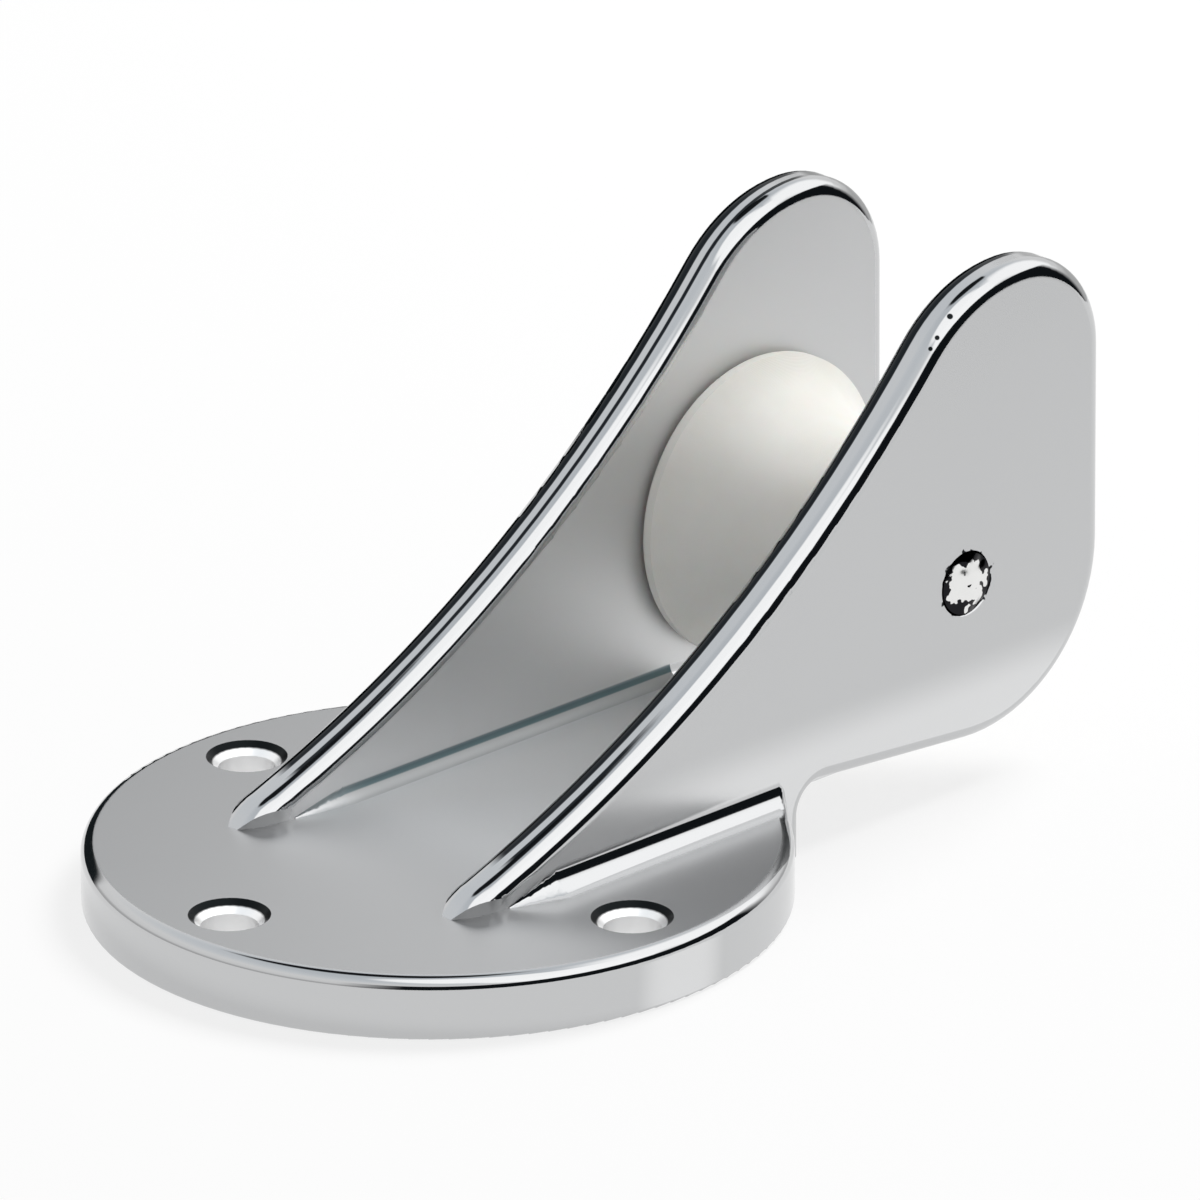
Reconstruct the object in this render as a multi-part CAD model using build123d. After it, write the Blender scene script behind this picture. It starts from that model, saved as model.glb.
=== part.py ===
from build123d import *
from math import atan2, cos, hypot, pi, radians, sin, sqrt, tan
import os

# Bow chain guide: a chrome-plated casting with two swept cheeks on a round
# base, and a nylon roller that turns on a riveted pin between them.
# Millimetres. Origin: centre of the base's underside. +X points over the bow,
# +Y to port, +Z up.

# Round base and its screw holes
base_diameter = 76.0
base_thickness = 7.0
rim_round = 1.5
foot_round = 0.5
screw_circle = 60.0
screw_count = 4
screw_hole = 6.2
countersink_mouth = 8.8
countersink_angle = 90.0

# Channel and cheeks
channel_width = 27.8
cheek_thickness = 5.5
cheek_height = 51.9            # top of the horn above the base
cheek_edge_round = 2.0
toe_reach = 14.3               # tip of the toe behind the base's centre
toe_height = 2.0               # where the sweep turns down to the tip
toe_slope = 40.0               # degrees
toe_round = 9.0
toe_taper = 6.5                # length over which the toe narrows, seen from above
toe_tip_width = 1.4
cheek_foot = 1.0               # cheek's foot above the underside, inside the base
sweep_radius = 153.0           # hollow curve from toe to horn
horn_back_radius = 18.5
horn_front_radius = 12.3
nose_border = 1.6              # cheek left around the roller at the nose
front_border = 3.7             # cheek ahead of the roller
neck_lead = 2.8                # neck ahead of the rim
neck_round = 3.0
underside_lift = 0.75          # cheek's lower edge above the base, at the neck
underside_slope = 4.6          # degrees, falling towards the nose

# Floor of the channel, ahead of the base
floor_thickness = 2.5
keel_round = 9.5
floor_setback = 11.3           # floor's front edge behind the roller's axis
floor_edge_round = 1.0

# Blends where the cheeks meet the base
outer_blend = 2.8
inner_blend = 1.8
blend_start = 0.2
blend_run = 7.0                # length over which a blend grows, from the toe's taper

# Roller
axis_reach = 59.8              # roller's axis ahead of the base's centre
roller_radius = 17.0
roller_waist = 11.5            # radius at the middle
roller_land = 1.6              # straight rim at each end
roller_edge_round = 0.8
roller_floor_gap = 0.4         # roller above the level of the channel's floor
roller_side_play = 0.4

# Pin
pin_diameter = 6.0
pin_running_clearance = 0.08   # radial, in the roller
pin_seat_clearance = 0.02      # radial, in the cheeks
rivet_seat = 0.7               # chamfer of the pin's hole, on the outside
rivet_gap = 0.25               # groove left between rivet head and seat
rivet_dome = 0.5

# Places worked out from the sizes above
base_radius = base_diameter / 2
base_top = base_thickness
inner_face = channel_width / 2
outer_face = inner_face + cheek_thickness
rim_meets_cheek = sqrt(base_radius**2 - outer_face**2)
neck_x = rim_meets_cheek + neck_lead
toe_x = -toe_reach
taper_x = toe_x + toe_taper
axis_height = base_top + roller_floor_gap + roller_radius
front_x = axis_reach + roller_radius + front_border
floor_x = axis_reach - floor_setback
underside_z = base_top + underside_lift
underside_fall = tan(radians(underside_slope))
embed = 0.4                    # how far a piece reaches into what it joins


def corner_at(sketch, x, z):
    return sketch.vertices().sort_by_distance((x, z, 0))[0]


def point_on(centre, radius, angle):
    return centre[0] + radius * cos(angle), centre[1] + radius * sin(angle)


def sweep_centre(horn_back, toe):
    # Circle through the toe that touches the back of the horn from outside.
    along_x, along_z = horn_back[0] - toe[0], horn_back[1] - toe[1]
    span = hypot(along_x, along_z)
    reach = sweep_radius + horn_back_radius
    share = (sweep_radius**2 - reach**2 + span**2) / (2 * span)
    rise = sqrt(sweep_radius**2 - share**2)
    centre_x = toe[0] + (share * along_x - rise * along_z) / span
    centre_z = toe[1] + (share * along_z + rise * along_x) / span
    return centre_x, centre_z


def cheek_outline():
    # Side view of one cheek, with its foot reaching down inside the base.
    crown_z = base_top + cheek_height
    crown = (front_x - horn_front_radius, crown_z)
    horn_front = (crown[0], crown_z - horn_front_radius)
    horn_back = (crown[0], crown_z - horn_back_radius)
    fall = tan(radians(toe_slope))
    toe = (toe_x + toe_height / fall, base_top + toe_height)
    heel_x = toe_x - (base_top - cheek_foot) / fall
    sweep = sweep_centre(horn_back, toe)
    back_angle = atan2(sweep[1] - horn_back[1], sweep[0] - horn_back[0])
    toe_angle = atan2(toe[1] - sweep[1], toe[0] - sweep[0])
    sweep_end = point_on(horn_back, horn_back_radius, back_angle)
    end_angle = atan2(sweep_end[1] - sweep[1], sweep_end[0] - sweep[0])
    sweep_middle = point_on(sweep, sweep_radius, (toe_angle + end_angle) / 2)
    back_middle = point_on(horn_back, horn_back_radius, (back_angle + pi / 2) / 2)
    front_middle = point_on(horn_front, horn_front_radius, pi / 4)
    nose_z = underside_z - (front_x - neck_x) * underside_fall
    foot_x = neck_x - cheek_thickness
    with BuildSketch(Plane.XZ) as side:
        with BuildLine():
            Line((heel_x, cheek_foot), toe)
            ThreePointArc(toe, sweep_middle, sweep_end)
            ThreePointArc(sweep_end, back_middle, crown)
            ThreePointArc(crown, front_middle, (front_x, horn_front[1]))
            Polyline(
                (front_x, horn_front[1]),
                (front_x, nose_z),
                (neck_x, underside_z),
                (neck_x, 0),
                (foot_x, 0),
                (foot_x, cheek_foot),
                (heel_x, cheek_foot),
            )
        make_face()
        fillet(corner_at(side, front_x, nose_z), roller_radius + nose_border)
        fillet(corner_at(side, neck_x, underside_z), neck_round)
        fillet(corner_at(side, *toe), toe_round)
    return side.sketch


def toe_plan():
    # Cheek seen from above: its sides curve in to a narrow tip at the toe.
    half = cheek_thickness / 2
    with BuildSketch(Plane.XY) as plan:
        with BuildLine():
            port = TangentArc((taper_x, half), (toe_x, toe_tip_width / 2), tangent=(-1, 0))
            starboard = mirror(port, about=Plane.XZ)
            Line(port @ 1, starboard @ 1)
            Polyline((taper_x, half), (front_x, half), (front_x, -half), (taper_x, -half))
        make_face()
    return plan.sketch


def starboard_cheek():
    slab = Pos(0, -inner_face, 0) * extrude(cheek_outline(), amount=cheek_thickness)
    side_edges = slab.edges().filter_by(Axis.Y, reverse=True)
    rounded = [edge for edge in side_edges if edge.bounding_box().max.Z > cheek_foot + embed]
    cheek = fillet(rounded, cheek_edge_round)
    middle_y = inner_face + cheek_thickness / 2
    return cheek & Pos(0, -middle_y, 0) * extrude(toe_plan(), amount=base_top + cheek_height)


def channel_floor():
    # Trough that joins the cheeks ahead of the base, with rounded lower corners.
    low = base_top - floor_thickness
    wall_top = base_top + underside_lift + cheek_edge_round
    with BuildSketch(Plane.YZ) as section:
        with BuildLine():
            Line((keel_round - outer_face, low), (outer_face - keel_round, low))
            RadiusArc(
                (outer_face - keel_round, low), (outer_face, low + keel_round), -keel_round
            )
            Line((outer_face, low + keel_round), (-outer_face, low + keel_round))
            RadiusArc(
                (-outer_face, low + keel_round), (keel_round - outer_face, low), -keel_round
            )
        make_face()
        with Locations((0, wall_top)):
            Rectangle(
                2 * outer_face,
                2 * keel_round,
                align=(Align.CENTER, Align.MIN),
                mode=Mode.SUBTRACT,
            )
        with Locations((0, base_top)):
            Rectangle(
                channel_width,
                2 * keel_round,
                align=(Align.CENTER, Align.MIN),
                mode=Mode.SUBTRACT,
            )
    start_x = base_radius / 2
    wall_x = floor_x - floor_edge_round - embed
    with BuildSketch(Plane.XZ) as side:
        with BuildLine():
            Polyline(
                (start_x, low),
                (floor_x, low),
                (floor_x, base_top),
                (wall_x, base_top),
                (wall_x, wall_top),
                (start_x, wall_top),
                close=True,
            )
        make_face()
        fillet(corner_at(side, floor_x, low), floor_edge_round)
        fillet(corner_at(side, floor_x, base_top), floor_edge_round)
    trough = extrude(section.sketch, amount=floor_x)
    return trough & extrude(side.sketch, amount=outer_face, both=True)


def blend_section(x, height, face_y, away):
    # Hollow corner with its legs on the base's top and on the cheek's face.
    plane = Plane(origin=(x, face_y, base_top), x_dir=(0, away, 0), z_dir=(away, 0, 0))
    depth = rim_round + embed
    with BuildSketch(plane) as corner:
        with BuildLine():
            Polyline(
                (0, height), (-embed, height), (-embed, -depth), (height, -depth), (height, 0)
            )
            RadiusArc((height, 0), (0, height), height)
        make_face()
    return corner.sketch


def blend(height, end_x, face_y, away):
    # Grows from almost nothing near the toe to its full height, then runs straight.
    start_x = taper_x
    full_x = start_x + blend_run
    thin = blend_section(start_x, blend_start, face_y, away)
    full = blend_section(full_x, height, face_y, away)
    grown = loft([thin.face(), full.face()], ruled=True)
    return grown + extrude(full, amount=away * (end_x - full_x))


def base_flange():
    # Round base with the outer blends. Its rim is rounded on up over their ends.
    upright = (Align.CENTER, Align.CENTER, Align.MIN)
    disc = Cylinder(base_radius, base_thickness, align=upright)
    foot = disc.edges().filter_by(GeomType.CIRCLE).sort_by(Axis.Z)[0]
    disc = fillet(foot, foot_round)
    inside_rim = Cylinder(base_radius, base_thickness + outer_blend + embed, align=upright)
    near_blend = blend(outer_blend, neck_x, -outer_face, -1) & inside_rim
    plain = disc + near_blend + mirror(near_blend, about=Plane.XZ)
    hollow = outer_blend * (1 - cos(pi / 4))
    end_y = outer_face + hollow
    end_x = sqrt(base_radius**2 - end_y**2)
    rim = [
        plain.edges().sort_by_distance(place)[0]
        for place in (
            (-base_radius, 0, base_top),
            (end_x, -end_y, base_top + hollow),
            (end_x, end_y, base_top + hollow),
        )
    ]
    return fillet(rim, rim_round)


def screw_hole_cutters():
    sink_depth = (countersink_mouth - screw_hole) / 2 / tan(radians(countersink_angle / 2))
    bore = Cylinder(
        screw_hole / 2, base_thickness, align=(Align.CENTER, Align.CENTER, Align.MIN)
    )
    sink = Pos(0, 0, base_top - sink_depth) * Cone(
        screw_hole / 2,
        countersink_mouth / 2,
        sink_depth,
        align=(Align.CENTER, Align.CENTER, Align.MIN),
    )
    cutter = bore + sink
    return [place * cutter for place in PolarLocations(screw_circle / 2, screw_count)]


def pin_hole_cutter():
    across = Plane(origin=(axis_reach, outer_face, axis_height), z_dir=(0, -1, 0))
    bore_radius = pin_diameter / 2 + pin_seat_clearance
    mouth_radius = bore_radius + rivet_seat
    with BuildSketch(Plane.XY) as half:
        with BuildLine():
            Polyline(
                (0, 0),
                (mouth_radius, 0),
                (bore_radius, rivet_seat),
                (bore_radius, 2 * outer_face - rivet_seat),
                (mouth_radius, 2 * outer_face),
                (0, 2 * outer_face),
                close=True,
            )
        make_face()
    spindle = revolve(half.sketch, Axis.Y)
    upright = Rot(90, 0, 0) * spindle
    return across.location * upright


def body_casting():
    near_cheek = starboard_cheek()
    near_blend = blend(inner_blend, floor_x - floor_edge_round, -inner_face, 1)
    body = base_flange() + channel_floor()
    for piece in (near_cheek, near_blend):
        body = body + piece + mirror(piece, about=Plane.XZ)
    body = body - pin_hole_cutter()
    for cutter in screw_hole_cutters():
        body = body - cutter
    return body


def chain_roller():
    half_width = inner_face - roller_side_play
    waist_edge = half_width - roller_land
    with BuildSketch(Plane.XY) as half:
        with BuildLine():
            Polyline(
                (roller_radius, -waist_edge),
                (roller_radius, -half_width),
                (0, -half_width),
                (0, half_width),
                (roller_radius, half_width),
                (roller_radius, waist_edge),
            )
            ThreePointArc(
                (roller_radius, waist_edge), (roller_waist, 0), (roller_radius, -waist_edge)
            )
        make_face()
        fillet(corner_at(half, roller_radius, half_width), roller_edge_round)
        fillet(corner_at(half, roller_radius, -half_width), roller_edge_round)
    solid = revolve(half.sketch, Axis.Y)
    bore = Rot(90, 0, 0) * Cylinder(pin_diameter / 2 + pin_running_clearance, channel_width)
    return Pos(axis_reach, 0, axis_height) * (solid - bore)


def axle_pin():
    # Shank through both cheeks, its ends spread into low domed rivet heads.
    shank = pin_diameter / 2
    head = shank + pin_seat_clearance + rivet_seat - rivet_gap
    seat_start = outer_face - (head - shank)
    tip = outer_face + rivet_dome
    dome_radius = (head**2 + rivet_dome**2) / (2 * rivet_dome)
    with BuildSketch(Plane.XY) as half:
        with BuildLine():
            Polyline((head, outer_face), (shank, seat_start), (shank, 0), (0, 0), (0, tip))
            RadiusArc((0, tip), (head, outer_face), dome_radius)
        make_face()
    end = revolve(half.sketch, Axis.Y)
    return Pos(axis_reach, 0, axis_height) * (end + mirror(end, about=Plane.XZ))


os.makedirs("parts", exist_ok=True)
export_step(body_casting(), "parts/body_casting.step")
export_step(chain_roller(), "parts/chain_roller.step")
export_step(axle_pin(), "parts/axle_pin.step")
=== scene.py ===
import bmesh
import bpy
from math import cos, hypot, pi, radians, sin, sqrt
from mathutils import Matrix, Vector


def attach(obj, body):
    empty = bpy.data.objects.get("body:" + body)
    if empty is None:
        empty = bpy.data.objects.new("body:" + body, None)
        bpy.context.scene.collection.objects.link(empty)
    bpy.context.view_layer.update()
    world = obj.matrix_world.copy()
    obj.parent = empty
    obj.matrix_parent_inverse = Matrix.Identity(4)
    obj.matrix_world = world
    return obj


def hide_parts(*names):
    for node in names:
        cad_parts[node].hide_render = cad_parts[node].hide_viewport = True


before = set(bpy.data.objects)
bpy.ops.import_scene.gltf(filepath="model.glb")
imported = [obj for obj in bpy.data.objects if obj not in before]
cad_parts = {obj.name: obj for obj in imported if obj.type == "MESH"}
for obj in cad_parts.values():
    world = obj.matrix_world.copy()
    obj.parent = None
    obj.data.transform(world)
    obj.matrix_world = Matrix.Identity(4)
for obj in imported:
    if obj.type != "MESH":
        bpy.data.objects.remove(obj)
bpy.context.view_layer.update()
scene = bpy.context.scene
print("frame loaded:", ", ".join(sorted(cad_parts)))


# Small helpers for shader trees

def newMaterial(name):
    material = bpy.data.materials.new(name)
    material.use_nodes = True
    material.node_tree.nodes.clear()
    return material, material.node_tree


def addNode(tree, kind, x, y, **settings):
    node = tree.nodes.new(kind)
    node.location = (x, y)
    for name, value in settings.items():
        setattr(node, name, value)
    return node


def addMath(tree, operation, x, y, first, second):
    # Each of the two may be a socket or a number
    node = addNode(tree, "ShaderNodeMath", x, y, operation=operation)
    for socket, given in zip(node.inputs, (first, second)):
        if isinstance(given, (int, float)):
            socket.default_value = given
        else:
            tree.links.new(given, socket)
    return node.outputs["Value"]


def addRange(tree, x, y, value, low, high, toLow=0.0, toHigh=1.0):
    # Soft step from toLow to toHigh as the value goes from low to high
    node = addNode(tree, "ShaderNodeMapRange", x, y, interpolation_type="SMOOTHSTEP")
    for label, number in (("From Min", low), ("From Max", high), ("To Min", toLow), ("To Max", toHigh)):
        node.inputs[label].default_value = number
    tree.links.new(value, node.inputs["Value"])
    return node.outputs["Result"]


def addRamp(tree, x, y, value, stops):
    node = addNode(tree, "ShaderNodeValToRGB", x, y)
    elements = node.color_ramp.elements
    for element, (place, colour) in zip(elements, (stops[0], stops[-1])):
        element.position = place
        element.color = (*colour, 1.0)
    for place, colour in stops[1:-1]:
        elements.new(place).color = (*colour, 1.0)
    tree.links.new(value, node.inputs["Fac"])
    return node.outputs["Color"]


def newGroup(name, inputs, outputs):
    group = bpy.data.node_groups.new(name, "ShaderNodeTree")
    for label, start in inputs:
        socket = group.interface.new_socket(name=label, in_out="INPUT", socket_type="NodeSocketFloat")
        socket.default_value = start
    for label in outputs:
        group.interface.new_socket(name=label, in_out="OUTPUT", socket_type="NodeSocketFloat")
    return group


def useGroup(tree, group, x, y, values):
    node = addNode(tree, "ShaderNodeGroup", x, y, node_tree=group)
    for label, value in values.items():
        node.inputs[label].default_value = value
    return node


# Polish: faint waviness of buffed metal, fine buffing lines and smudges.
# Height goes to a bump, Roughness to the shader.

buffing = {
    "waveDetail": 1.0,
    "lineDetail": 1.0,
    "lineStretch": (0.04, 1.0, 1.0),    # buffing lines run along X
    "smudgeDetail": 4.0,
    "smudgeFrom": 0.35,
    "smudgeTo": 0.7,
}


def makePolishGroup():
    group = newGroup(
        "polish",
        [("Wave Size", 40.0), ("Wave Height", 1.0), ("Line Size", 900.0), ("Line Height", 0.1),
         ("Roughness Low", 0.05), ("Roughness High", 0.12), ("Smudge Size", 30.0)],
        ["Height", "Roughness"],
    )
    link = group.links.new
    given = addNode(group, "NodeGroupInput", -900, 0)
    out = addNode(group, "NodeGroupOutput", 500, 0)
    place = addNode(group, "ShaderNodeTexCoord", -900, 300)

    wave = addNode(group, "ShaderNodeTexNoise", -600, 300)
    wave.inputs["Detail"].default_value = buffing["waveDetail"]
    link(place.outputs["Object"], wave.inputs["Vector"])
    link(given.outputs["Wave Size"], wave.inputs["Scale"])
    waveHigh = addMath(group, "MULTIPLY", -350, 300, wave.outputs["Fac"], given.outputs["Wave Height"])

    stretch = addNode(group, "ShaderNodeMapping", -750, 0)
    stretch.inputs["Scale"].default_value = buffing["lineStretch"]
    link(place.outputs["Object"], stretch.inputs["Vector"])
    lines = addNode(group, "ShaderNodeTexNoise", -600, 0)
    lines.inputs["Detail"].default_value = buffing["lineDetail"]
    link(stretch.outputs["Vector"], lines.inputs["Vector"])
    link(given.outputs["Line Size"], lines.inputs["Scale"])
    lineHigh = addMath(group, "MULTIPLY", -350, 0, lines.outputs["Fac"], given.outputs["Line Height"])
    link(addMath(group, "ADD", -100, 200, waveHigh, lineHigh), out.inputs["Height"])

    smudge = addNode(group, "ShaderNodeTexNoise", -600, -300)
    smudge.inputs["Detail"].default_value = buffing["smudgeDetail"]
    link(place.outputs["Object"], smudge.inputs["Vector"])
    link(given.outputs["Smudge Size"], smudge.inputs["Scale"])
    spread = addNode(group, "ShaderNodeMapRange", -300, -300)
    spread.inputs["From Min"].default_value = buffing["smudgeFrom"]
    spread.inputs["From Max"].default_value = buffing["smudgeTo"]
    link(smudge.outputs["Fac"], spread.inputs["Value"])
    link(given.outputs["Roughness Low"], spread.inputs["To Min"])
    link(given.outputs["Roughness High"], spread.inputs["To Max"])
    link(spread.outputs["Result"], out.inputs["Roughness"])
    return group


# Pin distance: how far a point lies from the pin's axis, made uneven by a noise.
# The black ring drawn on the pin's end and the dark seat around it both follow it.

pinEnd = {
    "place": (0.0598, 0.0, 0.0244),
    "alongSide": (1.0, 0.0, 1.0),    # the distance is measured in the plane of a cheek
    "noiseSize": 700.0,
    "noiseDetail": 2.0,
}


def makePinDistanceGroup():
    group = newGroup("pinDistance", [("Raggedness", 0.004)], ["Distance"])
    link = group.links.new
    given = addNode(group, "NodeGroupInput", 400, -400)
    out = addNode(group, "NodeGroupOutput", 1200, 0)
    place = addNode(group, "ShaderNodeTexCoord", -200, 0)

    fromPin = addNode(group, "ShaderNodeVectorMath", 0, 0, operation="SUBTRACT")
    link(place.outputs["Object"], fromPin.inputs[0])
    fromPin.inputs[1].default_value = pinEnd["place"]
    aside = addNode(group, "ShaderNodeVectorMath", 200, 0, operation="MULTIPLY")
    link(fromPin.outputs["Vector"], aside.inputs[0])
    aside.inputs[1].default_value = pinEnd["alongSide"]
    away = addNode(group, "ShaderNodeVectorMath", 400, 0, operation="LENGTH")
    link(aside.outputs["Vector"], away.inputs[0])

    noise = addNode(group, "ShaderNodeTexNoise", 400, -200)
    noise.inputs["Scale"].default_value = pinEnd["noiseSize"]
    noise.inputs["Detail"].default_value = pinEnd["noiseDetail"]
    link(place.outputs["Object"], noise.inputs["Vector"])
    centred = addMath(group, "SUBTRACT", 600, -200, noise.outputs["Fac"], 0.5)
    uneven = addMath(group, "MULTIPLY", 800, -200, centred, given.outputs["Raggedness"])
    link(addMath(group, "ADD", 1000, 0, away.outputs["Value"], uneven), out.inputs["Distance"])
    return group


polishGroup = makePolishGroup()
pinDistanceGroup = makePinDistanceGroup()


# Chrome-plated casting: mirror-bright rounds, flats a little duller, bright screw-hole walls.
# The dark lines along its edges and round its holes follow the photograph.
# Painted light in its colour: dark reflection lines along the edges, a darker groove with a reflection
# line, a shade ring round each hole's mouth, and a paler tone where the cheeks mirror the base.

casting = {
    "colour": (0.555, 0.56, 0.566),
    # painted reflection: paler low on the cheeks, where their faces mirror the base; paler inside the
    # channel too
    "paleColour": (0.72, 0.725, 0.73),     # inside the channel and low on the cheeks
    "holeColour": (0.97, 0.97, 0.97),
    # painted shade round the holes' mouths; also the colour of the pits and of the pin's seat
    "shadeAndMarkColour": (0.01, 0.012, 0.013),
    # painted reflection lines along the cheeks' sweeps
    "paintedReflectionColour": (0.014, 0.017, 0.02),
    # painted shade in the groove, and a painted reflection line on it
    "paintedGrooveShade": (0.5, 0.51, 0.515),
    "paintedGrooveReflection": (0.17, 0.24, 0.26),

    "waveSize": 45.0,
    "waveHeight": 1.0,
    "lineSize": 450.0,
    "lineHeight": 0.02,
    "smudgeSize": 28.0,
    "bumpStrength": 1.0,
    "bumpDistance": 0.00002,
    "roughnessLow": 0.05,
    "roughnessHigh": 0.07,
    "sideDulling": 0.2,          # roughness added on the cheeks' faces
    "topDulling": 0.24,          # and on the base's top
    "channelDulling": 0.23,      # the buffing wheel hardly reaches into the channel
    "grooveDulling": 0.35,
    "holeDulling": 0.3,

    "flatFrom": 0.985,           # a normal this near an axis starts to count as flat
    "flatTo": 0.9995,
    "paleFrom": 0.0105,          # a cheek's face mirrors the base below this height
    "paleTo": 0.0165,
    "channelFrom": -0.014,       # the channel fades in from here along X
    "channelTo": 0.004,
    "channelEdgeFrom": 0.000005,
    "channelEdgeTo": 0.00003,
    "grooveTop": 0.0092,         # where the cheeks' inner faces meet the channel's floor
    "grooveSoft": 0.001,
    "steepFrom": 0.8,            # the groove's line lies where it turns steep
    "steepTo": 0.86,

    "holeCircle": 0.030,
    "holeWall": 0.00436,         # a screw hole's wall lies inside this radius
    "holeWallSoft": 0.00006,
    # painted shade: a dark ring round each hole's mouth
    "holeShadeRing": 0.00372,         # dark line around its mouth begins here
    "holeShadeRingSoft": 0.0001,
    "pinSeat": 0.0035,           # dark seat around the pin's end
    "pinSeatSoft": 0.00015,
    "pinSeatRagged": 0.004,

    "cheekMiddle": 0.01665,      # lines along the sweeps are measured to port from here
    "edgeLine": (0.0003, 0.0016),
    "middleLine": (-0.00105, -0.00055),    # along the port cheek, and up the other's toe
    "toeLine": (0.0185, 0.0225),           # heights between which it fades on that toe
    "lineSoft": 0.00015,
    "portSoft": 0.001,
    "edgeAbove": 0.0105,
    "edgeAboveSoft": 0.001,
    "asternFrom": 0.0,           # the lines end where the edge turns forward
    "asternTo": 0.25,
    "pitSoft": 0.0001,
    "pits": [                    # small blemishes in the plating by the near horn's edge
        ((0.0581, -0.0185, 0.0555), 0.00038),
        ((0.0560, -0.0187, 0.0537), 0.00032),
        ((0.0550, -0.0187, 0.0527), 0.0003),
    ],

    "cheekOuter": 0.0194,        # sizes of the rounded edges, for the shading of the skin
    "cheekInner": 0.0139,
    "cheekRound": 0.002,
    "roundsFrom": -0.0065,
    "roundsAbove": 0.0105,
    "pinClear": 0.0045,
    "baseTop": 0.007,
    "rimRadius": 0.038,
    "rimRound": 0.0015,
    "rimEnd": 0.028,             # ahead of this the rim is whole only outside rimAside
    "rimAside": 0.0235,
    "sharpAngle": 28,            # edges sharper than this stay crisp
    "flatLimit": 0.99998,
    "leanLimit": 0.9999,         # beyond it a round counts as level with the cheek's face
    "shortest": 0.0001,
    "weldDistance": 0.000001,
    "slack": 0.00001,            # allowed when a point is taken to lie on a round
}


def makeHoleDistance(tree, x, y, place):
    # Distance, seen from above, to the nearest of the four screw holes
    flat = addNode(tree, "ShaderNodeSeparateXYZ", x, y)
    tree.links.new(place, flat.inputs["Vector"])
    along = addMath(tree, "ABSOLUTE", x + 160, y + 80, flat.outputs["X"], 0.0)
    aside = addMath(tree, "ABSOLUTE", x + 160, y - 80, flat.outputs["Y"], 0.0)
    far = addMath(tree, "MAXIMUM", x + 320, y + 80, along, aside)
    near = addMath(tree, "MINIMUM", x + 320, y - 80, along, aside)
    offset = addMath(tree, "SUBTRACT", x + 480, y + 80, far, casting["holeCircle"])
    offsetSquare = addMath(tree, "POWER", x + 640, y + 80, offset, 2.0)
    nearSquare = addMath(tree, "POWER", x + 640, y - 80, near, 2.0)
    total = addMath(tree, "ADD", x + 800, y, offsetSquare, nearSquare)
    return addMath(tree, "SQRT", x + 960, y, total, 0.0)


def mixColours(tree, x, y, factor, first, second):
    # Each of the two may be a socket or a colour
    node = addNode(tree, "ShaderNodeMix", x, y, data_type="RGBA")
    tree.links.new(factor, node.inputs["Factor"])
    for socket, colour in ((node.inputs[6], first), (node.inputs[7], second)):
        if isinstance(colour, tuple):
            socket.default_value = (*colour, 1.0)
        else:
            tree.links.new(colour, socket)
    return node.outputs[2]


def addStripe(tree, x, y, value, ends, startSoft, endSoft):
    # 1 between the two ends, fading in after the first and out after the second
    start, end = ends
    rise = addRange(tree, x, y, value, start, start + startSoft)
    fall = addRange(tree, x, y + 200, value, end, end + endSoft, 1.0, 0.0)
    return addMath(tree, "MULTIPLY", x + 150, y + 100, rise, fall)


def makePaintedReflectionLines(tree, spot, facing, aside, between):
    # Two dark lines painted along the cheeks' swept edges: painted reflections
    fromMiddle = addMath(tree, "SUBTRACT", -1100, 1500, aside, casting["cheekMiddle"])
    cheekSign = addMath(tree, "SIGN", -1100, 1650, spot.outputs["Y"], 0.0)
    toPort = addMath(tree, "MULTIPLY", -900, 1500, fromMiddle, cheekSign)

    lowest = casting["edgeAbove"]
    above = addRange(tree, -900, 1900, spot.outputs["Z"], lowest, lowest + casting["edgeAboveSoft"])
    turned = (casting["asternFrom"], casting["asternTo"])
    astern = addRange(tree, -900, 2050, facing.outputs["X"], *turned, 1.0, 0.0)
    outside = addMath(tree, "SUBTRACT", -700, 2100, 1.0, between)
    onEdge = addMath(tree, "MULTIPLY", -700, 1950, above, astern)
    onSweep = addMath(tree, "MULTIPLY", -550, 1950, onEdge, outside)

    soft = casting["lineSoft"]
    edge = addStripe(tree, -700, 1500, toPort, casting["edgeLine"], soft, 2 * soft)
    middle = addStripe(tree, -700, 2250, toPort, casting["middleLine"], soft, soft)
    onPort = addRange(tree, -700, 2600, spot.outputs["Y"], 0.0, casting["portSoft"])
    nearToe = addRange(tree, -700, 2800, spot.outputs["Z"], *casting["toeLine"], 1.0, 0.0)
    shown = addMath(tree, "MAXIMUM", -550, 2700, onPort, nearToe)
    middle = addMath(tree, "MULTIPLY", -400, 2200, middle, shown)
    either = addMath(tree, "MAXIMUM", -400, 1950, edge, middle)
    return addMath(tree, "MULTIPLY", -250, 1950, either, onSweep)


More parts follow.
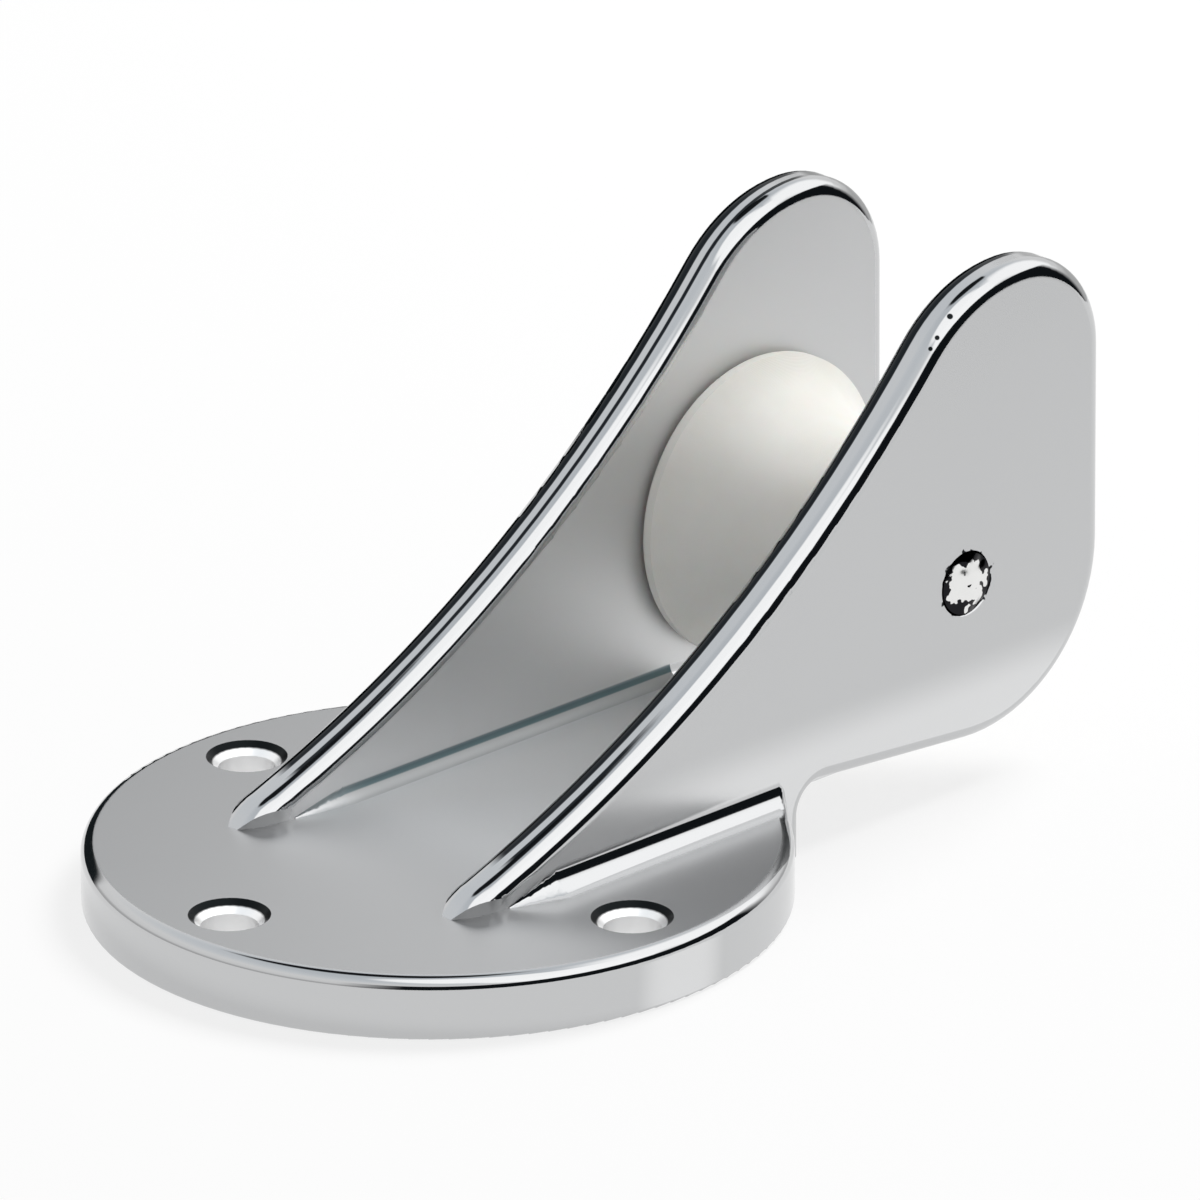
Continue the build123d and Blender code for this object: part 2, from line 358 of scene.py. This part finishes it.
def makeChromeTone(tree, place, masks):
    # Colour of the plating, from the plain metal through each dark line to the pin's seat
    spot, facing, aside, sideways = (masks[key] for key in ("spot", "facing", "aside", "sideways"))
    # the paler tone low on the cheeks' faces is a painted reflection of the base; the channel is paler
    # too
    low, high = casting["paleFrom"], casting["paleTo"]
    nearBase = addRange(tree, -1100, 1300, spot.outputs["Z"], low, high, 1.0, 0.0)
    sideLow = addMath(tree, "MULTIPLY", -900, 1350, nearBase, masks["side"])
    paler = addMath(tree, "MAXIMUM", -700, 1350, masks["channel"], sideLow)
    tone = mixColours(tree, -500, 1000, paler, casting["colour"], casting["paleColour"])

    # painted shade in the groove, and a painted reflection line where it turns steep
    steep = addRange(tree, -900, 1200, sideways, casting["steepFrom"], casting["steepTo"])
    groove = mixColours(tree, -600, 1200, steep, casting["paintedGrooveShade"], casting["paintedGrooveReflection"])
    tone = mixColours(tree, -400, 900, masks["groove"], tone, groove)

    # painted reflections: dark lines along the sweeps
    lines = makePaintedReflectionLines(tree, spot, facing, aside, masks["between"])
    tone = mixColours(tree, -350, 1650, lines, tone, casting["paintedReflectionColour"])
    for row, (pitPlace, radius) in enumerate(casting["pits"]):
        level = 1800 + 200 * row
        away = addNode(tree, "ShaderNodeVectorMath", -700, level, operation="DISTANCE")
        tree.links.new(place, away.inputs[0])
        away.inputs[1].default_value = pitPlace
        inner = radius - casting["pitSoft"]
        inPit = addRange(tree, -500, level, away.outputs["Value"], inner, radius, 1.0, 0.0)
        tone = mixColours(tree, -300, level, inPit, tone, casting["shadeAndMarkColour"])

    # painted shade ring round each hole's mouth
    seam, soft = casting["holeShadeRing"], casting["holeShadeRingSoft"]
    atHoleShade = addRange(tree, -500, 750, masks["holeDistance"], seam - soft, seam + soft)
    holeTone = mixColours(tree, -300, 650, atHoleShade, casting["holeColour"], casting["shadeAndMarkColour"])
    tone = mixColours(tree, -100, 500, masks["hole"], tone, holeTone)

    ragged = useGroup(tree, pinDistanceGroup, -700, 1500, {"Raggedness": casting["pinSeatRagged"]})
    seat, soft = casting["pinSeat"], casting["pinSeatSoft"]
    atPin = addRange(tree, -300, 1300, ragged.outputs["Distance"], seat - soft, seat, 1.0, 0.0)
    return mixColours(tree, 50, 500, atPin, tone, casting["shadeAndMarkColour"])


def makeCastingMasks(tree, place):
    # Where the channel, the flats, the groove and the holes are, each from 0 to 1
    spot = addNode(tree, "ShaderNodeSeparateXYZ", -1500, 1000)
    tree.links.new(place.outputs["Object"], spot.inputs["Vector"])
    facing = addNode(tree, "ShaderNodeSeparateXYZ", -1500, -200)
    tree.links.new(place.outputs["Normal"], facing.inputs["Vector"])

    distance = makeHoleDistance(tree, -1700, 500, place.outputs["Object"])
    wall = casting["holeWall"]
    inHole = addRange(tree, -500, 500, distance, wall, wall + casting["holeWallSoft"], 1.0, 0.0)

    aside = addMath(tree, "ABSOLUTE", -1300, 1100, spot.outputs["Y"], 0.0)
    half = casting["cheekInner"]
    edges = (half + casting["channelEdgeFrom"], half + casting["channelEdgeTo"])
    between = addRange(tree, -1100, 1100, aside, *edges, 1.0, 0.0)
    ahead = addRange(tree, -1100, 900, spot.outputs["X"], casting["channelFrom"], casting["channelTo"])
    inChannel = addMath(tree, "MULTIPLY", -900, 1000, between, ahead)

    sideways = addMath(tree, "ABSOLUTE", -1300, -100, facing.outputs["Y"], 0.0)
    isSide = addRange(tree, -1100, -100, sideways, casting["flatFrom"], casting["flatTo"])
    isTop = addRange(tree, -1100, -350, facing.outputs["Z"], casting["flatFrom"], casting["flatTo"])

    top = casting["grooveTop"]
    low = addRange(tree, -1100, 700, spot.outputs["Z"], top - casting["grooveSoft"], top, 1.0, 0.0)
    isFlat = addMath(tree, "MAXIMUM", -900, 700, isSide, isTop)
    isRound = addMath(tree, "SUBTRACT", -900, 850, 1.0, isFlat)
    lowRound = addMath(tree, "MULTIPLY", -800, 850, isRound, low)
    inGroove = addMath(tree, "MULTIPLY", -700, 850, lowRound, inChannel)
    return {
        "spot": spot, "facing": facing, "aside": aside, "sideways": sideways, "between": between,
        "side": isSide, "top": isTop, "channel": inChannel, "groove": inGroove,
        "hole": inHole, "holeDistance": distance,
    }


def makeDulling(tree, masks):
    # Roughness added by place
    sideDull = addMath(tree, "MULTIPLY", -900, -100, masks["side"], casting["sideDulling"])
    topDull = addMath(tree, "MULTIPLY", -900, -350, masks["top"], casting["topDulling"])
    flatDull = addMath(tree, "ADD", -700, -200, sideDull, topDull)
    channelDull = addMath(tree, "MULTIPLY", -700, -400, masks["channel"], casting["channelDulling"])
    grooveDull = addMath(tree, "MULTIPLY", -700, -800, masks["groove"], casting["grooveDulling"])
    holeDull = addMath(tree, "MULTIPLY", -700, -600, masks["hole"], casting["holeDulling"])
    insideDull = addMath(tree, "ADD", -600, -500, channelDull, grooveDull)
    plainDull = addMath(tree, "ADD", -600, -400, flatDull, insideDull)
    return addMath(tree, "ADD", -500, -300, plainDull, holeDull)


def makePlatedChrome():
    material, tree = newMaterial("platedChrome")
    link = tree.links.new
    out = addNode(tree, "ShaderNodeOutputMaterial", 500, 0)
    shader = addNode(tree, "ShaderNodeBsdfPrincipled", 200, 0)
    shader.inputs["Metallic"].default_value = 1.0
    place = addNode(tree, "ShaderNodeTexCoord", -1900, 0)
    masks = makeCastingMasks(tree, place)
    link(makeChromeTone(tree, place.outputs["Object"], masks), shader.inputs["Base Color"])

    polish = useGroup(tree, polishGroup, -500, 0, {
        "Wave Size": casting["waveSize"],
        "Wave Height": casting["waveHeight"],
        "Line Size": casting["lineSize"],
        "Line Height": casting["lineHeight"],
        "Roughness Low": casting["roughnessLow"],
        "Roughness High": casting["roughnessHigh"],
        "Smudge Size": casting["smudgeSize"],
    })
    roughness = addMath(tree, "ADD", -200, 0, polish.outputs["Roughness"], makeDulling(tree, masks))
    link(roughness, shader.inputs["Roughness"])
    bump = addNode(tree, "ShaderNodeBump", -200, -200)
    bump.inputs["Strength"].default_value = casting["bumpStrength"]
    bump.inputs["Distance"].default_value = casting["bumpDistance"]
    link(polish.outputs["Height"], bump.inputs["Height"])
    link(bump.outputs["Normal"], shader.inputs["Normal"])
    link(shader.outputs["BSDF"], out.inputs["Surface"])
    return material


# White nylon roller

roller = {
    "colour": (0.87, 0.86, 0.82),
    "shade": (0.82, 0.81, 0.755),
    "roughness": 0.5,
    "subsurface": 0.15,
    "subsurfaceDepth": 0.002,
    "cloudSize": 90.0,
    "cloudDetail": 4.0,
    "shadeAt": 0.3,
    "colourAt": 0.6,
    "turningPitch": 2600.0,       # fine rings left by the lathe
    "turningWobble": 0.4,
    "bumpStrength": 0.5,
    "bumpDistance": 0.00003,
}


def makeNylon():
    material, tree = newMaterial("whiteNylon")
    link = tree.links.new
    out = addNode(tree, "ShaderNodeOutputMaterial", 500, 0)
    shader = addNode(tree, "ShaderNodeBsdfPrincipled", 200, 0)
    shader.inputs["Roughness"].default_value = roller["roughness"]
    shader.inputs["Subsurface Weight"].default_value = roller["subsurface"]
    shader.inputs["Subsurface Scale"].default_value = roller["subsurfaceDepth"]
    place = addNode(tree, "ShaderNodeTexCoord", -900, 0)
    cloud = addNode(tree, "ShaderNodeTexNoise", -600, 200)
    cloud.inputs["Scale"].default_value = roller["cloudSize"]
    cloud.inputs["Detail"].default_value = roller["cloudDetail"]
    link(place.outputs["Object"], cloud.inputs["Vector"])
    tones = [(roller["shadeAt"], roller["shade"]), (roller["colourAt"], roller["colour"])]
    link(addRamp(tree, -350, 200, cloud.outputs["Fac"], tones), shader.inputs["Base Color"])
    turning = addNode(tree, "ShaderNodeTexWave", -600, -200, bands_direction="Y")
    turning.inputs["Scale"].default_value = roller["turningPitch"]
    turning.inputs["Distortion"].default_value = roller["turningWobble"]
    link(place.outputs["Object"], turning.inputs["Vector"])
    bump = addNode(tree, "ShaderNodeBump", -100, -200)
    bump.inputs["Strength"].default_value = roller["bumpStrength"]
    bump.inputs["Distance"].default_value = roller["bumpDistance"]
    link(turning.outputs["Fac"], bump.inputs["Height"])
    link(bump.outputs["Normal"], shader.inputs["Normal"])
    link(shader.outputs["BSDF"], out.inputs["Surface"])
    return material


# Riveted steel pin, its ends dented by the hammer

pin = {
    "colour": (0.8, 0.8, 0.79),
    "pinRingColour": (0.015, 0.015, 0.017),
    "raggedness": 0.006,
    "ringFrom": 0.0023,           # black ring drawn outside this radius
    "ringTo": 0.0024,
    "blowSize": 420.0,
    "blowStrength": 1.0,
    "blowDepth": 0.0008,
    "roughnessLow": 0.1,
    "roughnessHigh": 0.2,
    "smudgeSize": 300.0,
}


def makePinSteel():
    material, tree = newMaterial("pinSteel")
    link = tree.links.new
    out = addNode(tree, "ShaderNodeOutputMaterial", 400, 0)
    shader = addNode(tree, "ShaderNodeBsdfPrincipled", 100, 0)
    shader.inputs["Metallic"].default_value = 1.0
    polish = useGroup(tree, polishGroup, -450, 100, {
        "Roughness Low": pin["roughnessLow"],
        "Roughness High": pin["roughnessHigh"],
        "Smudge Size": pin["smudgeSize"],
    })
    link(polish.outputs["Roughness"], shader.inputs["Roughness"])
    ragged = useGroup(tree, pinDistanceGroup, -650, 600, {"Raggedness": pin["raggedness"]})
    onRing = addRange(tree, -400, 600, ragged.outputs["Distance"], pin["ringFrom"], pin["ringTo"])
    tone = mixColours(tree, -200, 500, onRing, pin["colour"], pin["pinRingColour"])
    link(tone, shader.inputs["Base Color"])
    place = addNode(tree, "ShaderNodeTexCoord", -700, -200)
    blows = addNode(tree, "ShaderNodeTexVoronoi", -450, -200, feature="SMOOTH_F1")
    blows.inputs["Scale"].default_value = pin["blowSize"]
    link(place.outputs["Object"], blows.inputs["Vector"])
    bump = addNode(tree, "ShaderNodeBump", -150, -200)
    bump.inputs["Strength"].default_value = pin["blowStrength"]
    bump.inputs["Distance"].default_value = pin["blowDepth"]
    link(blows.outputs["Distance"], bump.inputs["Height"])
    link(bump.outputs["Normal"], shader.inputs["Normal"])
    link(shader.outputs["BSDF"], out.inputs["Surface"])
    return material


# The casting's skin: the same surface with its shading evened out, so that mirrored lines
# run smoothly

def directionOnCheek(spot, mean):
    # Exact direction of a cheek's rounded edge
    aside, rounding = abs(spot.y), casting["cheekRound"]
    outer, inner = casting["cheekOuter"] - rounding, casting["cheekInner"] + rounding
    lean = (max(aside - outer, 0) + min(aside - inner, 0)) / rounding
    lean = max(-1, min(1, lean))
    across = Vector((mean.x, 0, mean.z))
    if abs(lean) < casting["leanLimit"] and across.length > casting["shortest"]:
        across = across.normalized() * sqrt(1 - lean * lean)
    else:
        across = Vector()
    across.y = lean if spot.y > 0 else -lean
    return across


def trueDirection(spot, normal, mean):
    # Exact direction of the surface on the cheeks' rounded edges and on the rim's
    aside, radial, slack = abs(spot.y), hypot(spot.x, spot.y), casting["slack"]
    onCheek = casting["cheekInner"] - slack < aside < casting["cheekOuter"] + slack
    pinX, pinY, pinZ = pinEnd["place"]
    clear = hypot(spot.x - pinX, spot.z - pinZ) > casting["pinClear"]
    if onCheek and clear and spot.x > casting["roundsFrom"] and spot.z > casting["roundsAbove"]:
        return directionOnCheek(spot, mean)
    rim = casting["rimRound"]
    rise = spot.z - (casting["baseTop"] - rim)
    out = radial - (casting["rimRadius"] - rim)
    beside = spot.x < casting["rimEnd"] or aside > casting["rimAside"]
    if beside and -slack < rise < rim + slack and out > -slack:
        return Vector((spot.x / radial * out, spot.y / radial * out, rise)).normalized()
    return normal


def blend(faces, normals, areas):
    # Mean direction of some faces, large ones counting more
    return sum((areas[index] * normals[index] for index in faces), Vector()).normalized()


def setShading(mesh):
    # A corner's normal is the mean of the faces that meet there smoothly. Where one of them
    # lies flat, it takes that one's.
    normals = [face.normal.copy() for face in mesh.polygons]
    areas = [face.area for face in mesh.polygons]
    around = [[] for vertex in mesh.vertices]
    for face in mesh.polygons:
        for index in face.vertices:
            around[index].append(face.index)
    means = [blend(near, normals, areas) for near in around]
    limit = cos(radians(casting["sharpAngle"]))
    corners = []
    for face in mesh.polygons:
        own = normals[face.index]
        for index in face.vertices:
            smooth = [other for other in around[index] if normals[other].dot(own) > limit]
            flats = [
                other for other in smooth
                if max(abs(part) for part in normals[other]) > casting["flatLimit"]
            ]
            if flats:
                blended = normals[max(flats, key=lambda other: areas[other])]
            else:
                blended = blend(smooth, normals, areas)
            corners.append(trueDirection(mesh.vertices[index].co, blended, means[index]))
    mesh.normals_split_custom_set(corners)


def makeCastingSkin():
    form = bmesh.new()
    form.from_mesh(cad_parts["body_casting"].data)
    bmesh.ops.remove_doubles(form, verts=form.verts, dist=casting["weldDistance"])
    corners = [vertex.co.copy() for vertex in form.verts]
    faces = [[vertex.index for vertex in face.verts] for face in form.faces]
    form.free()
    mesh = bpy.data.meshes.new("castingSkin")
    mesh.from_pydata(corners, [], faces)
    mesh.shade_smooth()
    setShading(mesh)
    skin = bpy.data.objects.new("castingSkin", mesh)
    scene.collection.objects.link(skin)
    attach(skin, "guide")
    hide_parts("body_casting")
    return skin


chrome = makePlatedChrome()
for piece, material in (
    (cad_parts["body_casting"], chrome),
    (makeCastingSkin(), chrome),
    (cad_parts["chain_roller"], makeNylon()),
    (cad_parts["axle_pin"], makePinSteel()),
):
    piece.data.materials.clear()
    piece.data.materials.append(material)
print("finishes on")


# Studio: a pale table, a white surround and one soft lamp. Mirror-like surfaces also see a tent
# with a dark wall and pale cloths, which draws lines along the rounded edges.

studio = {
    "tableRadius": 0.3,
    "tableSides": 128,
    "tablePlace": (0.02, 0, -0.00005),
    "tableColour": (0.9, 0.9, 0.9, 1.0),
    "tableGlow": 0.77,            # share of the table that looks white to the eye
    "white": (1.0, 1.0, 1.0, 1.0),
    "ambient": 0.48,
    "tentRadius": 1.2,
    "tentGlow": 2.0,
    "middle": (0.03, 0, 0.03),    # of the tent, and what the lamp points at
}
# What the tent shows at each height in degrees, as shares of its glow
tentTones = [
    (-90, (0.3, 0.3, 0.3)), (4, (0.3, 0.3, 0.3)), (12, (0.47, 0.47, 0.47)), (30, (0.5, 0.5, 0.5)),
    (45, (0.44, 0.455, 0.47)), (65, (0.38, 0.40, 0.42)), (90, (0.36, 0.38, 0.40)),
]
# Round pale cloths hung in the tent, a dark wall along its starboard side, and dark gaps;
# "around" gives how much of the wall stands at each azimuth
tentCloths = [
    {"azimuth": -82, "height": 46, "radius": 26, "soft": 3, "colour": (0.8, 0.8, 0.8)},
    {"azimuth": -115, "height": 68, "radius": 20, "soft": 4, "colour": (0.78, 0.78, 0.78)},
    {"azimuth": -20, "height": 42, "radius": 26, "soft": 8, "colour": (0.78, 0.78, 0.78)},
]
tentWall = {
    "top": 26,
    "soft": 1.5,
    "colour": (0.004, 0.005, 0.006),
    "around": [(-165, 0), (-145, 1), (-22, 1), (-8, 0)],
}
tentGaps = [
    {"azimuth": 68, "height": 0, "radius": 26, "soft": 2.5, "colour": (0.006, 0.008, 0.009)},
    {"azimuth": 67, "height": 66, "radius": 14, "soft": 3, "colour": (0.006, 0.007, 0.008)},
]
lamps = {
    "keyLamp": {"azimuth": 0, "elevation": 53, "distance": 1.3, "size": (0.6, 0.6), "glow": 11.5},
}


def seenByEye(tree, x, y):
    # 1 on camera, glossy and transmission rays, 0 on the light that falls on things
    path = addNode(tree, "ShaderNodeLightPath", x, y)
    direct, glossy = path.outputs["Is Camera Ray"], path.outputs["Is Glossy Ray"]
    first = addMath(tree, "MAXIMUM", x + 200, y, direct, glossy)
    return addMath(tree, "MAXIMUM", x + 400, y, first, path.outputs["Is Transmission Ray"])


def makeTable():
    bpy.ops.mesh.primitive_circle_add(
        vertices=studio["tableSides"], radius=studio["tableRadius"], fill_type="NGON",
        location=studio["tablePlace"],
    )
    table = bpy.context.object
    table.name = "paleTable"
    material, tree = newMaterial("paleTable")
    link = tree.links.new
    out = addNode(tree, "ShaderNodeOutputMaterial", 600, 0)
    matt = addNode(tree, "ShaderNodeBsdfDiffuse", 0, 100)
    matt.inputs["Color"].default_value = studio["tableColour"]
    white = addNode(tree, "ShaderNodeEmission", 0, -100)
    share = addMath(tree, "MULTIPLY", 0, 300, seenByEye(tree, -600, 300), studio["tableGlow"])
    mix = addNode(tree, "ShaderNodeMixShader", 300, 0)
    link(share, mix.inputs["Fac"])
    link(matt.outputs["BSDF"], mix.inputs[1])
    link(white.outputs["Emission"], mix.inputs[2])
    link(mix.outputs["Shader"], out.inputs["Surface"])
    table.data.materials.append(material)
    return table


def hangCloth(tree, x, y, toward, tone, cloth):
    # Adds one soft-edged round patch to the tone the tent already has
    turn, lift = radians(cloth["azimuth"]), radians(cloth["height"])
    facing = addNode(tree, "ShaderNodeVectorMath", x, y, operation="DOT_PRODUCT")
    facing.inputs[1].default_value = (cos(lift) * cos(turn), cos(lift) * sin(turn), sin(lift))
    tree.links.new(toward, facing.inputs[0])
    outer = cos(radians(cloth["radius"] + cloth["soft"]))
    inner = cos(radians(cloth["radius"] - cloth["soft"]))
    inside = addRange(tree, x + 200, y, facing.outputs["Value"], outer, inner)
    return mixColours(tree, x + 400, y, inside, tone, cloth["colour"])


def makeTent():
    # Only mirror-like surfaces see it
    bpy.ops.mesh.primitive_uv_sphere_add(
        segments=64, ring_count=48, radius=studio["tentRadius"], location=studio["middle"]
    )
    cover = bpy.context.object
    cover.name = "tent"
    material, tree = newMaterial("tent")
    link = tree.links.new
    out = addNode(tree, "ShaderNodeOutputMaterial", 1200, 0)
    glow = addNode(tree, "ShaderNodeEmission", 1000, 0)
    glow.inputs["Strength"].default_value = studio["tentGlow"]
    place = addNode(tree, "ShaderNodeTexCoord", -900, 0)
    toward = addNode(tree, "ShaderNodeVectorMath", -700, 0, operation="NORMALIZE")
    link(place.outputs["Object"], toward.inputs[0])
    axes = addNode(tree, "ShaderNodeSeparateXYZ", -500, 0)
    link(toward.outputs["Vector"], axes.inputs["Vector"])
    lift = addMath(tree, "ARCSINE", -300, 200, axes.outputs["Z"], 0.0)
    level = addMath(tree, "MULTIPLY_ADD", -100, 200, lift, 1 / pi)    # 0 below to 1 above
    level.node.inputs[2].default_value = 0.5
    turn = addMath(tree, "ARCTAN2", -300, -200, axes.outputs["Y"], axes.outputs["X"])
    around = addMath(tree, "MULTIPLY_ADD", -100, -200, turn, 0.5 / pi)    # 0 to 1 all round
    around.node.inputs[2].default_value = 0.5
    tone = addRamp(tree, 100, 400, level, [(stop / 180 + 0.5, colour) for stop, colour in tentTones])
    for row, cloth in enumerate(tentCloths):
        tone = hangCloth(tree, 400, 400 - 200 * row, toward.outputs["Vector"], tone, cloth)
    full = sin(radians(tentWall["top"] - tentWall["soft"]))
    gone = sin(radians(tentWall["top"] + tentWall["soft"]))
    low = addRange(tree, 100, -300, axes.outputs["Z"], full, gone, 1.0, 0.0)
    sides = [(stop / 360 + 0.5, (share, share, share)) for stop, share in tentWall["around"]]
    wall = addMath(tree, "MULTIPLY", 300, -400, low, addRamp(tree, 0, -600, around, sides))
    tone = mixColours(tree, 600, -300, wall, tone, tentWall["colour"])
    for row, gap in enumerate(tentGaps):
        tone = hangCloth(tree, 400, -800 - 200 * row, toward.outputs["Vector"], tone, gap)
    link(tone, glow.inputs["Color"])
    link(glow.outputs["Emission"], out.inputs["Surface"])
    cover.data.materials.append(material)
    cover.visible_camera = False
    cover.visible_diffuse = False
    cover.visible_shadow = False
    cover.visible_transmission = False
    return cover


def makeLamp(name, settings):
    light = bpy.data.lights.new(name, "AREA")
    light.shape = "RECTANGLE"
    light.size, light.size_y = settings["size"]
    light.energy = settings["glow"] * pi * light.size * light.size_y
    lamp = bpy.data.objects.new(name, light)
    scene.collection.objects.link(lamp)
    turn, lift = radians(settings["azimuth"]), radians(settings["elevation"])
    toLamp = Vector((cos(lift) * cos(turn), cos(lift) * sin(turn), sin(lift)))
    lamp.location = Vector(studio["middle"]) + settings["distance"] * toLamp
    lamp.rotation_euler = toLamp.to_track_quat("Z", "Y").to_euler()
    lamp.visible_glossy = False
    return lamp


def makeSurround():
    world = bpy.data.worlds.new("whiteSurround")
    scene.world = world
    world.use_nodes = True
    tree = world.node_tree
    tree.nodes.clear()
    link = tree.links.new
    out = addNode(tree, "ShaderNodeOutputWorld", 500, 0)
    fill = addNode(tree, "ShaderNodeBackground", 0, 100)
    fill.inputs["Strength"].default_value = studio["ambient"]
    white = addNode(tree, "ShaderNodeBackground", 0, -100)
    white.inputs["Strength"].default_value = 1.0
    for node in (fill, white):
        node.inputs["Color"].default_value = studio["white"]
    mix = addNode(tree, "ShaderNodeMixShader", 250, 0)
    link(seenByEye(tree, -600, 300), mix.inputs["Fac"])
    link(fill.outputs["Background"], mix.inputs[1])
    link(white.outputs["Background"], mix.inputs[2])
    link(mix.outputs["Shader"], out.inputs["Surface"])


makeTable()
makeTent()
for lampName, settings in lamps.items():
    makeLamp(lampName, settings)
makeSurround()
scene.view_settings.view_transform = "Standard"
print("studio ready")


# Camera at the photograph's angle: a long lens from behind the starboard side. Its target is
# given in the picture's own right and up directions.

camera = {
    "azimuth": -43.44,       # of the picture's right-hand direction
    "elevation": 22.67,
    "roll": 0.32,
    "right": 0.01724,
    "up": 0.03149,
    "distance": 1.93876,
    "lens": 546.2,
    "sensor": 36.0,
    "clipEnd": 20.0,
}


def makeCamera():
    turn, lift, roll = (radians(camera[key]) for key in ("azimuth", "elevation", "roll"))
    right = Vector((cos(turn), sin(turn), 0))
    back = Vector((sin(turn) * cos(lift), -cos(turn) * cos(lift), sin(lift)))
    up = back.cross(right)
    across = cos(roll) * right - sin(roll) * up
    upward = sin(roll) * right + cos(roll) * up
    spot = camera["right"] * across + camera["up"] * upward + camera["distance"] * back
    lens = bpy.data.cameras.new("photoCamera")
    lens.sensor_width = camera["sensor"]
    lens.sensor_fit = "HORIZONTAL"
    lens.lens = camera["lens"]
    lens.clip_end = camera["clipEnd"]
    view = bpy.data.objects.new("photoCamera", lens)
    scene.collection.objects.link(view)
    view.matrix_world = Matrix((
        (across.x, upward.x, back.x, spot.x),
        (across.y, upward.y, back.y, spot.y),
        (across.z, upward.z, back.z, spot.z),
        (0, 0, 0, 1),
    ))
    return view


scene.camera = makeCamera()
print("camera set")
